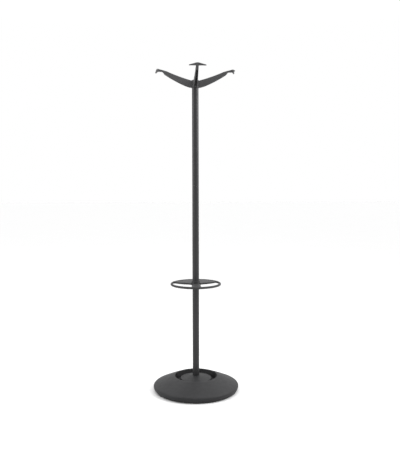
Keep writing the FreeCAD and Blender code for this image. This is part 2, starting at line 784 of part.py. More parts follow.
def hub_hardware():
    """Arm screws, the long hub screw with its washer, and the cap over them."""
    screws = new_body()
    heads = sketch_in(screws, "XY_Plane", "tongue_top")
    shanks = sketch_in(screws, "XY_Plane", "tongue_low - arm_screw_depth")
    for _, angle in ARMS:
        across, up = turned_place("arm_screw_reach", "0", angle)
        circle(heads, across, up, "arm_screw_head")
        circle(shanks, across, up, "arm_screw_radius")
    raised(screws, shanks, "tongue_top - tongue_low + arm_screw_depth")
    raised(screws, heads, "2.2")
    turn_about_pole(screws, "head_turn")
    finished(screws, "arm_screws")

    washer_top = "hub_screw_seat + hub_washer_wall"
    low = "pole_top - spigot_length - plug_length"
    turned_part(
        "hub_washer",
        ring_corners("hub_screw_radius + gap", "hub_washer_radius", "hub_screw_seat", washer_top),
    )
    turned_part(
        "hub_screw",
        (
            ("0", low),
            ("hub_screw_radius", low),
            ("hub_screw_radius", washer_top),
            ("hub_screw_head", washer_top),
            ("hub_screw_head", f"{washer_top} + 8"),
            ("hub_screw_head / 2", f"{washer_top} + 8"),
            ("hub_screw_head / 2", f"{washer_top} + 4"),
            ("0", f"{washer_top} + 4"),
        ),
    )
    turned_part(
        "hub_cap",
        (
            ("0", "hub_top - 5"),
            ("hub_well - gap", "hub_top - 5"),
            ("hub_well - gap", "hub_top + gap"),
            ("hub_radius - 1", "hub_top + gap", "1.4"),
            ("hub_radius - 1", "hub_top + gap + 1.8", "((hub_radius - 1)^2 + cap_rise^2) / (2 * cap_rise)"),
            ("0", "hub_top + gap + 1.8 + cap_rise"),
        ),
    )


# ---- build, check, write --------------------------------------------------------------


def check():
    """Stop if any object failed or any sub-part is not a sound solid."""
    for thing in doc.Objects:
        if "Invalid" in thing.State or "Error" in thing.State:
            raise RuntimeError(f"{thing.Name} ({thing.Label}) failed: {thing.State}")
    for thing in parts:
        shape = thing.Shape
        if shape.isNull() or not shape.isValid() or not shape.Solids:
            raise RuntimeError(f"{thing.Label} has no sound solid")


def main():
    fill_sheet()
    base_cover()
    base_plate()
    ballast()
    base_hardware()
    pole()
    umbrella_ring()
    ring_clamp()
    arm_hub()
    for label, angle in ARMS:
        arm(label, angle)
    hub_hardware()
    doc.recompute()
    check()
    os.makedirs("parts", exist_ok=True)
    for thing in parts:
        thing.Shape.exportStep(f"parts/{thing.Label}.step")
        box = thing.Shape.BoundBox
        print(
            f"{thing.Label}: solids {len(thing.Shape.Solids)}, volume {thing.Shape.Volume:.0f},"
            f" z {box.ZMin:.1f} to {box.ZMax:.1f}, x {box.XMin:.1f} to {box.XMax:.1f}"
        )


main()
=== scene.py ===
import logging
import math
from dataclasses import dataclass, field
from enum import Enum
from typing import Sequence

import bmesh
import bpy
import numpy as np
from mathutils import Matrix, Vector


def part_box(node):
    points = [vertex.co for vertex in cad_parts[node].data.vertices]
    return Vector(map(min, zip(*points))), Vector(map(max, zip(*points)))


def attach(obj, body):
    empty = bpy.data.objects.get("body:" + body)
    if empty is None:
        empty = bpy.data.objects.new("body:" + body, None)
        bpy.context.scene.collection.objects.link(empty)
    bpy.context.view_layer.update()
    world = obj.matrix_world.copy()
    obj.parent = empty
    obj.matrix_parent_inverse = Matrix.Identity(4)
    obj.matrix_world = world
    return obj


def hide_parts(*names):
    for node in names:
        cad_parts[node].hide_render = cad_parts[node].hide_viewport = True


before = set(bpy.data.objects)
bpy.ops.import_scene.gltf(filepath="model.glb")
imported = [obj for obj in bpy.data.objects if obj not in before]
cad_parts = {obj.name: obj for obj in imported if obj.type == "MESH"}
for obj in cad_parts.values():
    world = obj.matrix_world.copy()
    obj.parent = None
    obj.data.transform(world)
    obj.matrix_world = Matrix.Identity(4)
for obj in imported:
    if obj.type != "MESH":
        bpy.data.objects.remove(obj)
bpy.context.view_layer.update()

# Standing coat rack: a weighted round base, a two-part pole, an umbrella ring that slides on it,
# and a hub with three hook arms. Shapes are worked out in millimetres, with the origin at the
# pole's foot on the floor, +Z up and -Y to the front, and turned into metres as they are built.

log = logging.getLogger("coat_rack")

Array = np.ndarray
Corner = tuple[float, ...]
Colour = tuple[float, float, float]

METRES = 0.001
HEAD_TURN = 3.5  # degrees by which the arms and the ring are turned about the pole
SIDE_LEAN = 4.5  # degrees by which the two side arms lean towards the front
BEND_PER_FACE = 7.5  # degrees of a rounding that one face takes
LONGEST_FACE = 14.0
SHADING_MARGIN = 0.7  # a narrow face at each end of a flat side keeps the flat side's shading flat


class Body(Enum):
    """The two bodies of the rack that move apart."""

    STAND = "stand"
    RING = "ring"


# ---- outlines and skins ---------------------------------------------------------------


def arc(start: Array, finish: Array, radius: float) -> Array:
    """Points along an arc, without its last.

    The centre stands off the middle of the chord, to its left for a positive radius, by the
    square root of the radius squared less half the chord squared. The angle then runs evenly.

    Args:
        start: First point, across and up.
        finish: Last point, across and up.
        radius: Radius, positive where the arc turns left.

    Returns:
        The points, one row each.
    """
    chord = finish - start
    length = float(np.hypot(*chord))
    left = np.array((-chord[1], chord[0])) / length
    reach = math.copysign(math.sqrt(radius**2 - length**2 / 4), radius)
    centre = (start + finish) / 2 + left * reach
    first = math.atan2(start[1] - centre[1], start[0] - centre[0])
    sweep = math.copysign(2 * math.asin(length / 2 / abs(radius)), radius)
    steps = math.ceil(max(2, abs(math.degrees(sweep)) / BEND_PER_FACE, length / LONGEST_FACE))
    angles = first + sweep * np.arange(steps) / steps
    return centre + abs(radius) * np.stack((np.cos(angles), np.sin(angles)), axis=1)


def straight(start: Array, finish: Array) -> Array:
    """Points along a straight side, without its last.

    The share of the way runs from 0, through a narrow face at each end, in even steps between.

    Args:
        start: First point, across and up.
        finish: Last point, across and up.

    Returns:
        The points, one row each.
    """
    length = float(np.hypot(*(finish - start)))
    margin = min(SHADING_MARGIN, length / 4)
    steps = math.ceil((length - 2 * margin) / LONGEST_FACE) + 1
    shares = np.concatenate(((0.0,), np.linspace(margin, length - margin, steps) / length))
    return start + (finish - start) * shares[:, None]


def outline(corners: Sequence[Corner], closed: bool = True) -> Array:
    """Outline through corners, each joined to the next by a straight side or an arc.

    Args:
        corners: (across, up), or (across, up, radius of the arc that leaves it).
        closed: Whether the last corner is joined to the first.

    Returns:
        The outline's points, one row each.
    """
    places = [np.array(corner[:2], float) for corner in corners]
    sides = []
    for index, corner in enumerate(corners[: None if closed else -1]):
        finish = places[(index + 1) % len(places)]
        if len(corner) == 3:
            sides.append(arc(places[index], finish, corner[2]))
        else:
            sides.append(straight(places[index], finish))
    if not closed:
        sides.append(places[-1][None])
    return np.concatenate(sides)


def rounded(corners: Sequence[Corner]) -> Array:
    """Closed outline of straight sides with its corners rounded.

    Each corner is cut back along both sides by its radius over the tangent of half its angle, and
    an arc that touches both sides takes its place.

    Args:
        corners: (across, up, radius of the rounding).

    Returns:
        The outline's points, one row each.
    """
    joined: list[Corner] = []
    count = len(corners)
    for index, (across, up, radius) in enumerate(corners):
        place = np.array((across, up))
        back = np.array(corners[index - 1][:2]) - place
        ahead = np.array(corners[(index + 1) % count][:2]) - place
        back, ahead = back / np.hypot(*back), ahead / np.hypot(*ahead)
        turn = back[1] * ahead[0] - back[0] * ahead[1]
        half = math.acos(float(np.clip(back @ ahead, -1, 1))) / 2
        if radius <= 0 or abs(turn) < 1e-6:
            joined.append((across, up))
            continue
        cut = radius / math.tan(half)
        joined.append((*(place + back * cut), math.copysign(radius, turn)))
        joined.append(tuple(place + ahead * cut))
    return outline(joined)


@dataclass
class Skin:
    """Faces over a set of points in millimetres: four-sided ones, and end faces of many sides."""

    points: Array
    quads: Array
    ends: list[Array] = field(default_factory=list)

    def turned(self, degrees: float) -> "Skin":
        """The same skin turned about the pole."""
        angle = math.radians(degrees)
        turn = np.array(
            ((math.cos(angle), math.sin(angle), 0), (-math.sin(angle), math.cos(angle), 0), (0, 0, 1))
        )
        return Skin(self.points @ turn, self.quads, self.ends)


def skin_over(grid: Array, around: bool, along: bool = False, ends: bool = False) -> Skin:
    """Skin over a grid of points: each face joins four neighbours.

    Args:
        grid: Points, by row and column.
        around: Whether the last column joins the first.
        along: Whether the last row joins the first.
        ends: Whether the first and the last row are closed by a flat face.

    Returns:
        The skin.
    """
    rows, columns = grid.shape[:2]
    index = np.arange(rows * columns).reshape(rows, columns)
    closing = [index[0], index[-1]] if ends else []
    if along:
        index = np.vstack((index, index[:1]))
    if around:
        index = np.hstack((index, index[:, :1]))
    quads = np.stack((index[:-1, :-1], index[1:, :-1], index[1:, 1:], index[:-1, 1:]), axis=-1)
    return Skin(grid.reshape(-1, 3), quads.reshape(-1, 4), closing)


def turned_skin(section: Array, steps: int = 160, away: float = 0.0) -> Skin:
    """Skin of a piece turned on a lathe about an upright axis.

    Each point of the section keeps its height, and goes round at its distance from the axis:
    across times the cosine and the sine of an angle that runs evenly through a full turn.

    Args:
        section: Closed outline, distance from the axis and height.
        steps: Faces in a full turn.
        away: How far the axis stands from the pole, along +X.

    Returns:
        The skin.
    """
    angles = np.linspace(0, 2 * math.pi, steps, endpoint=False)
    grid = np.empty((len(section), steps, 3))
    grid[..., 0] = away + np.outer(section[:, 0], np.cos(angles))
    grid[..., 1] = np.outer(section[:, 0], np.sin(angles))
    grid[..., 2] = section[:, 1:2]
    return skin_over(grid, around=True, along=True)


def block_skin(low: Sequence[float], high: Sequence[float]) -> Skin:
    """Skin of a block with its sides along the axes, from its lowest to its highest corner."""
    ring = np.array(((0, 0), (1, 0), (1, 1), (0, 1)), float)
    unit = np.stack([np.column_stack((ring, np.full(4, level))) for level in (0.0, 1.0)])
    lowest = np.asarray(low, float)
    grid = lowest + unit * (np.asarray(high, float) - lowest)
    return skin_over(grid, around=True, ends=True)


def make_piece(name: str, skins: Sequence[Skin], crease: float = 38.0) -> bpy.types.Object:
    """Build one piece from its skins, in metres.

    Points that fall together are merged, which closes seams and poles, and faces are turned to
    point outwards.

    Args:
        name: The piece's name.
        skins: Its skins, in millimetres.
        crease: Edges sharper than this many degrees stay sharp in the shading.

    Returns:
        The piece, in the scene.
    """
    starts = np.cumsum([0] + [len(skin.points) for skin in skins])
    faces: list[list[int]] = []
    for skin, start in zip(skins, starts):
        faces += (skin.quads + start).tolist()
        faces += [(end + start).tolist() for end in skin.ends]
    mesh = bpy.data.meshes.new(name)
    points = np.concatenate([skin.points for skin in skins]) * METRES
    mesh.from_pydata(points.tolist(), [], faces)
    edit = bmesh.new()
    edit.from_mesh(mesh)
    bmesh.ops.remove_doubles(edit, verts=edit.verts, dist=1e-6)
    bmesh.ops.dissolve_degenerate(edit, edges=edit.edges, dist=1e-7)
    bmesh.ops.recalc_face_normals(edit, faces=edit.faces)
    edit.to_mesh(mesh)
    edit.free()
    mesh.polygons.foreach_set("use_smooth", np.ones(len(mesh.polygons), bool))
    mesh.set_sharp_from_angle(angle=math.radians(crease))
    piece = bpy.data.objects.new(name, mesh)
    bpy.context.scene.collection.objects.link(piece)
    return piece


def box_mm(node: str) -> tuple[Array, Array]:
    """Lowest and highest corner of a CAD node, in millimetres."""
    low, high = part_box(node)
    return np.array(low) / METRES, np.array(high) / METRES


# ---- finishes -------------------------------------------------------------------------


class Shading:
    """A material's nodes, with short ways to add the ones that the finishes use."""

    def __init__(self, name: str) -> None:
        """Make an empty material with one shader, read in the piece's own place."""
        self.material = bpy.data.materials.new(name)
        self.material.use_nodes = True
        self.tree = self.material.node_tree
        self.shader = self.tree.nodes["Principled BSDF"]
        self.place = self.tree.nodes.new("ShaderNodeTexCoord").outputs["Object"]

    def set(self, socket: str, value: float | tuple[float, ...]) -> None:
        """Set a value that is the same all over the surface."""
        self.shader.inputs[socket].default_value = value

    def join(self, source: bpy.types.NodeSocket, socket: str) -> None:
        """Let a pattern drive one of the shader's sockets."""
        self.tree.links.new(source, self.shader.inputs[socket])

    def stretched(self, scale: tuple[float, float, float]) -> bpy.types.NodeSocket:
        """The piece's place, stretched along the axes."""
        node = self.tree.nodes.new("ShaderNodeMapping")
        node.inputs["Scale"].default_value = scale
        self.tree.links.new(self.place, node.inputs["Vector"])
        return node.outputs["Vector"]

    def noise(
        self, size: float, detail: float = 3.0, place: bpy.types.NodeSocket | None = None
    ) -> bpy.types.NodeSocket:
        """Cloudy pattern between 0 and 1.

        Args:
            size: Size of its patches in metres.
            detail: How many finer layers it holds.
            place: Where it is read, the piece's own place if left out.

        Returns:
            The pattern's value.
        """
        node = self.tree.nodes.new("ShaderNodeTexNoise")
        node.inputs["Scale"].default_value = 1 / size
        node.inputs["Detail"].default_value = detail
        self.tree.links.new(place or self.place, node.inputs["Vector"])
        return node.outputs["Fac"]

    def cells(self, size: float) -> bpy.types.NodeSocket:
        """Distance to the middle of the nearest of many scattered cells of that size in metres."""
        node = self.tree.nodes.new("ShaderNodeTexVoronoi")
        node.inputs["Scale"].default_value = 1 / size
        self.tree.links.new(self.place, node.inputs["Vector"])
        return node.outputs["Distance"]

    def height(self) -> bpy.types.NodeSocket:
        """Height above the floor, in metres."""
        node = self.tree.nodes.new("ShaderNodeSeparateXYZ")
        self.tree.links.new(self.place, node.inputs["Vector"])
        return node.outputs["Z"]

    def spread(
        self, source: bpy.types.NodeSocket, low: float, high: float, to_low: float, to_high: float
    ) -> bpy.types.NodeSocket:
        """Stretch the part of a pattern between two values onto a new range, and hold its ends.

        Args:
            source: The pattern.
            low: Value that becomes to_low.
            high: Value that becomes to_high.
            to_low: New value at low.
            to_high: New value at high.

        Returns:
            The new pattern.
        """
        node = self.tree.nodes.new("ShaderNodeMapRange")
        for socket, value in zip(("From Min", "From Max", "To Min", "To Max"), (low, high, to_low, to_high)):
            node.inputs[socket].default_value = value
        self.tree.links.new(source, node.inputs["Value"])
        return node.outputs["Result"]

    def times(self, first: bpy.types.NodeSocket, second: bpy.types.NodeSocket) -> bpy.types.NodeSocket:
        """Two patterns multiplied."""
        node = self.tree.nodes.new("ShaderNodeMath")
        node.operation = "MULTIPLY"
        self.tree.links.new(first, node.inputs[0])
        self.tree.links.new(second, node.inputs[1])
        return node.outputs["Value"]

    def blended(
        self, share: bpy.types.NodeSocket, first: Colour | bpy.types.NodeSocket, second: Colour
    ) -> bpy.types.NodeSocket:
        """Colour that goes from the first to the second as a pattern goes from 0 to 1.

        Args:
            share: The pattern.
            first: Colour, or coloured pattern, at 0.
            second: Colour at 1.

        Returns:
            The coloured pattern.
        """
        node = self.tree.nodes.new("ShaderNodeMix")
        node.data_type = "RGBA"
        self.tree.links.new(share, node.inputs["Factor"])
        if isinstance(first, tuple):
            node.inputs["A"].default_value = (*first, 1)
        else:
            self.tree.links.new(first, node.inputs["A"])
        node.inputs["B"].default_value = (*second, 1)
        return node.outputs["Result"]

    def relief(self, layers: Sequence[tuple[bpy.types.NodeSocket, float]]) -> None:
        """Lay relief on the surface, one pattern over the other.

        Args:
            layers: Each pattern with the depth in metres between its 0 and its 1.
        """
        normal = None
        for source, depth in layers:
            node = self.tree.nodes.new("ShaderNodeBump")
            node.inputs["Distance"].default_value = depth
            self.tree.links.new(source, node.inputs["Height"])
            if normal is not None:
                self.tree.links.new(normal, node.inputs["Normal"])
            normal = node.outputs["Normal"]
        self.join(normal, "Normal")


def lighter(colour: Colour, factor: float) -> Colour:
    """A colour made lighter or darker by a factor."""
    return tuple(part * factor for part in colour)


@dataclass(frozen=True)
class MouldedPlastic:
    """Spark-eroded plastic: fine even grain, faint cloudiness, and pale rubs where shoes and bags touch."""

    colour: Colour
    roughness: float = 0.55
    grain: float = 0.0011
    grain_depth: float = 0.00007
    rubs: float = 0.25
    specular: float = 0.22

    def material(self, name: str) -> bpy.types.Material:
        """The plastic as a material."""
        shading = Shading(name)
        shading.set("Specular IOR Level", self.specular)
        cloud = shading.spread(shading.noise(0.11), 0.3, 0.7, 0, 1)
        plain = shading.blended(cloud, lighter(self.colour, 0.88), lighter(self.colour, 1.12))
        streak = shading.noise(0.035, 6, shading.stretched((1, 1, 5)))
        patch = shading.spread(shading.noise(0.07, 2), 0.5, 0.72, 0, self.rubs)
        rub = shading.times(shading.spread(streak, 0.55, 0.75, 0, 1), patch)
        shading.join(shading.blended(rub, plain, lighter(self.colour, 2.4)), "Base Color")
        rough = shading.noise(0.02, 4)
        gloss = shading.spread(rough, 0.25, 0.75, self.roughness - 0.05, self.roughness + 0.06)
        shading.join(gloss, "Roughness")
        shading.relief(
            (
                (shading.noise(0.012, 2), self.grain_depth * 0.6),
                (shading.cells(self.grain), self.grain_depth),
                (shading.noise(self.grain * 0.7, 2), self.grain_depth * 0.7),
            )
        )
        return shading.material


@dataclass(frozen=True)
class PowderCoat:
    """Baked powder paint on steel: orange-peel relief, a soft gloss, and a few pale rubs near the foot."""

    colour: Colour
    roughness: float = 0.5
    peel: float = 0.0022
    peel_depth: float = 0.00003
    rubbed_below: float = 0.55
    specular: float = 0.3

    def material(self, name: str) -> bpy.types.Material:
        """The paint as a material."""
        shading = Shading(name)
        shading.set("Specular IOR Level", self.specular)
        cloud = shading.spread(shading.noise(0.16, 2), 0.3, 0.7, 0, 1)
        plain = shading.blended(cloud, lighter(self.colour, 0.9), lighter(self.colour, 1.1))
        low = shading.spread(shading.height(), 0.08, self.rubbed_below, 0.4, 0)
        ticks = shading.spread(shading.noise(0.016, 5, shading.stretched((1, 1, 0.35))), 0.62, 0.74, 0, 1)
        rubbed = shading.blended(shading.times(low, ticks), plain, lighter(self.colour, 3.0))
        shading.join(rubbed, "Base Color")
        speck = shading.noise(0.006, 4)
        gloss = shading.spread(speck, 0.3, 0.7, self.roughness - 0.04, self.roughness + 0.05)
        shading.join(gloss, "Roughness")
        shading.relief(
            (
                (shading.noise(self.peel, 2), self.peel_depth),
                (shading.noise(0.0006, 2), self.peel_depth * 0.3),
            )
        )
        return shading.material


@dataclass(frozen=True)
class Rubber:
    """Moulded rubber: dull, slightly dusty and finely pitted."""

    colour: Colour
    roughness: float = 0.82

    def material(self, name: str) -> bpy.types.Material:
        """The rubber as a material."""
        shading = Shading(name)
        dust = shading.spread(shading.noise(0.009, 5), 0.45, 0.8, 0, 1)
        shading.join(shading.blended(dust, self.colour, lighter(self.colour, 2.6)), "Base Color")
        shading.join(shading.spread(dust, 0, 1, self.roughness - 0.08, self.roughness + 0.08), "Roughness")
        shading.relief(((shading.noise(0.0016, 4), 0.00008),))
        return shading.material


@dataclass(frozen=True)
class TurnedMetal:
    """Bare or plated metal: fine tool marks round the upright axis, and a mottled gloss."""

    colour: Colour
    roughness: float = 0.32
    tarnish: float = 0.65

    def material(self, name: str) -> bpy.types.Material:
        """The metal as a material."""
        shading = Shading(name)
        shading.set("Metallic", 1.0)
        mottle = shading.spread(shading.noise(0.006, 5), 0.35, 0.7, 0, 1)
        shading.join(shading.blended(mottle, self.colour, lighter(self.colour, self.tarnish)), "Base Color")
        marks = shading.noise(0.004, 3, shading.stretched((1, 1, 14)))
        gloss = shading.spread(marks, 0.3, 0.7, self.roughness - 0.07, self.roughness + 0.12)
        shading.join(gloss, "Roughness")
        shading.relief(((marks, 0.00002),))
        return shading.material


@dataclass(frozen=True)
class CastConcrete:
    """Cast concrete: sandy colour, darker stones, and pits where air was caught."""

    colour: Colour
    roughness: float = 0.88

    def material(self, name: str) -> bpy.types.Material:
        """The concrete as a material."""
        shading = Shading(name)
        dark, pale = lighter(self.colour, 0.72), lighter(self.colour, 1.25)
        sand = shading.blended(shading.noise(0.004, 6), dark, pale)
        stones = shading.spread(shading.cells(0.011), 0.12, 0.2, 0.55, 0)
        shading.join(shading.blended(stones, sand, lighter(self.colour, 0.5)), "Base Color")
        shading.set("Roughness", self.roughness)
        pits = shading.spread(shading.cells(0.006), 0.08, 0.3, 0, 1)
        shading.relief(((shading.noise(0.002, 5), 0.0003), (pits, 0.0008)))
        return shading.material


FINISHES = {
    "cover_plastic": MouldedPlastic((0.017, 0.017, 0.018)),
    "ring_plastic": MouldedPlastic((0.028, 0.028, 0.029), roughness=0.52, grain=0.0009, rubs=0.15),
    "arm_plastic": MouldedPlastic((0.052, 0.052, 0.053), roughness=0.52, grain=0.0009, rubs=0.15),
    "hub_plastic": MouldedPlastic((0.034, 0.034, 0.035), roughness=0.52, grain=0.0009, rubs=0.1),
    "tube_paint": PowderCoat((0.02, 0.02, 0.021), roughness=0.38),
    "plate_paint": PowderCoat((0.014, 0.014, 0.014), roughness=0.55, peel=0.003),
    "black_steel": PowderCoat((0.016, 0.016, 0.016), roughness=0.4, peel=0.0012),
    "rubber": Rubber((0.014, 0.014, 0.014)),
    "zinc_steel": TurnedMetal((0.63, 0.63, 0.6)),
    "bare_steel": TurnedMetal((0.46, 0.45, 0.44), roughness=0.4),
    "brass": TurnedMetal((0.7, 0.52, 0.22), roughness=0.28),
    "concrete": CastConcrete((0.42, 0.41, 0.385)),
}


class Workshop:
    """Dresses pieces and CAD nodes in their finishes, and says which body each new piece is on."""

    def __init__(self) -> None:
        """Make one material for each of the record's slots."""
        self.materials = {slot: finish.material(slot) for slot, finish in FINISHES.items()}

    def fit(self, piece: bpy.types.Object, slot: str, body: Body, *nodes: str) -> bpy.types.Object:
        """Dress a new piece, put it on its body, and let it stand for its CAD nodes.

        Args:
            piece: The new piece.
            slot: The record's material slot.
            body: The body it moves with.
            nodes: The CAD nodes that it takes the place of.

        Returns:
            The piece.
        """
        piece.data.materials.append(self.materials[slot])
        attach(piece, body.value)
        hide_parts(*nodes)
        log.info("%s on %s: %d faces, %s", piece.name, body.value, len(piece.data.polygons), slot)
        return piece

    def dress(self, node: str, slot: str) -> None:
        """Give a CAD node that stays its finish."""
        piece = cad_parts[node]
        for place in piece.material_slots:
            place.material = self.materials[slot]
        log.info("%s kept, %s", node, slot)


# ---- base -----------------------------------------------------------------------------


@dataclass
class Base:
    """Weighted base: moulded cover with its drip groove, steel plate, ballast, feet and fasteners."""

    workshop: Workshop
    floor_gap: float = 4.0
    foot_radius: float = 217.0
    belt_radius: float = 225.0
    belt_height: float = 24.0
    slope_start: tuple[float, float] = (218.0, 33.5)
    rim: tuple[float, float] = (110.6, 76.5)
    groove_floor: float = 40.0
    island: tuple[float, float] = (82.5, 64.0)
    seat_radius: float = 17.8
    seat_height: float = 77.0
    seat_floor: float = 72.0
    bolt_way: float = 7.0
    wall: float = 3.0
    pad_radius: float = 14.0
    stem_radius: float = 4.0
    pad_circle: float = 191.0
    pad_count: int = 6
    pad_dish: float = 0.8
    pad_turn: float = 30.0

    def cover_section(self) -> Array:
        """Section of the cover: the outer skin from the floor edge in to the pole, and back inside."""
        rim, rim_top = self.rim
        island, island_top = self.island
        slope, slope_height = self.slope_start
        floor, wall = self.groove_floor, self.wall
        return outline(
            (
                (self.foot_radius, self.floor_gap, 28),
                (self.belt_radius, self.belt_height, 11),
                (slope, slope_height, 1600),
                (rim + 3, rim_top, 3.2),
                (rim, rim_top - 3),
                (rim - 4, floor + 5, -5),
                (rim - 9, floor),
                (island + 7, floor, -5),
                (island + 2, floor + 5),
                (island, island_top - 3, 3.5),
                (island - 3, island_top),
                (self.seat_radius, self.seat_height),
                (self.seat_radius, self.seat_floor),
                (self.bolt_way, self.seat_floor),
                (self.bolt_way, self.seat_floor - wall),
                (self.seat_radius + wall, self.seat_floor - wall),
                (island - 1.6 * wall, island_top - wall),
                (island + 2 - wall, floor - wall),
                (rim - 4 + wall, floor - wall),
                (rim + wall, rim_top - 2 * wall),
                (rim + 2 * wall, rim_top - 1.4 * wall),
                (slope - 1.2 * wall, slope_height - wall, -8),
                (self.belt_radius - wall, self.belt_height, -25),
                (self.foot_radius - wall, self.floor_gap),
            )
        )

    def build_cover(self) -> None:
        """Turn the cover and fit it."""
        piece = make_piece("cover", [turned_skin(self.cover_section(), steps=224)])
        self.workshop.fit(piece, "cover_plastic", Body.STAND, "base_cover")

    def build_feet(self) -> None:
        """Turn one foot, a soft-edged pad with a dished face and a stem, and repeat it round the base."""
        high = box_mm("foot_pads")[1][2]
        dish = self.pad_dish
        section = rounded(
            (
                (0, dish, 0),
                (self.pad_radius - 5, dish, 0.5),
                (self.pad_radius - 4, 0, 0.5),
                (self.pad_radius, 0, 1.2),
                (self.pad_radius, self.floor_gap, 0.4),
                (self.stem_radius, self.floor_gap, 0),
                (self.stem_radius, high, 1),
                (0, high, 0),
            )
        )
        foot = turned_skin(section, steps=40, away=self.pad_circle)
        angles = self.pad_turn + 360 / self.pad_count * np.arange(self.pad_count)
        piece = make_piece("feet", [foot.turned(angle) for angle in angles])
        self.workshop.fit(piece, "rubber", Body.STAND, "foot_pads")

    def build(self) -> None:
        """Build the base and dress the pieces inside it."""
        self.build_cover()
        self.build_feet()
        self.workshop.dress("base_plate", "plate_paint")
        self.workshop.dress("ballast", "concrete")
        for node in ("cover_screws", "bolt_washer", "pole_bolt", "base_spacer"):
            self.workshop.dress(node, "zinc_steel")


# ---- pole -----------------------------------------------------------------------------


@dataclass
class Pole:
    """Two steel tubes, end to end, with the plugs and the stud inside them."""

    workshop: Workshop
    wall: float = 1.5
    lip: float = 0.35

    def build_tube(self, name: str, node: str) -> None:
        """Turn one tube with softened ends.

        Args:
            name: The new piece's name.
            node: The CAD node whose place it takes.
        """
        low, high = box_mm(node)
        radius, inner = high[0], high[0] - self.wall
        section = rounded(
            (
                (inner, low[2], self.lip),
                (radius, low[2], self.lip),
                (radius, high[2], self.lip),
                (inner, high[2], self.lip),
            )
        )
        piece = make_piece(name, [turned_skin(section, steps=96)])
        self.workshop.fit(piece, "tube_paint", Body.STAND, node)

    def build(self) -> None:
        """Build both tubes and dress what is inside."""
        self.build_tube("pole_lower", "lower_tube")
        self.build_tube("pole_upper", "upper_tube")
        for node in ("lower_insert", "lower_joint_plug", "upper_joint_plug", "top_insert"):
            self.workshop.dress(node, "bare_steel")
        self.workshop.dress("joint_stud", "zinc_steel")


# ---- umbrella ring --------------------------------------------------------------------


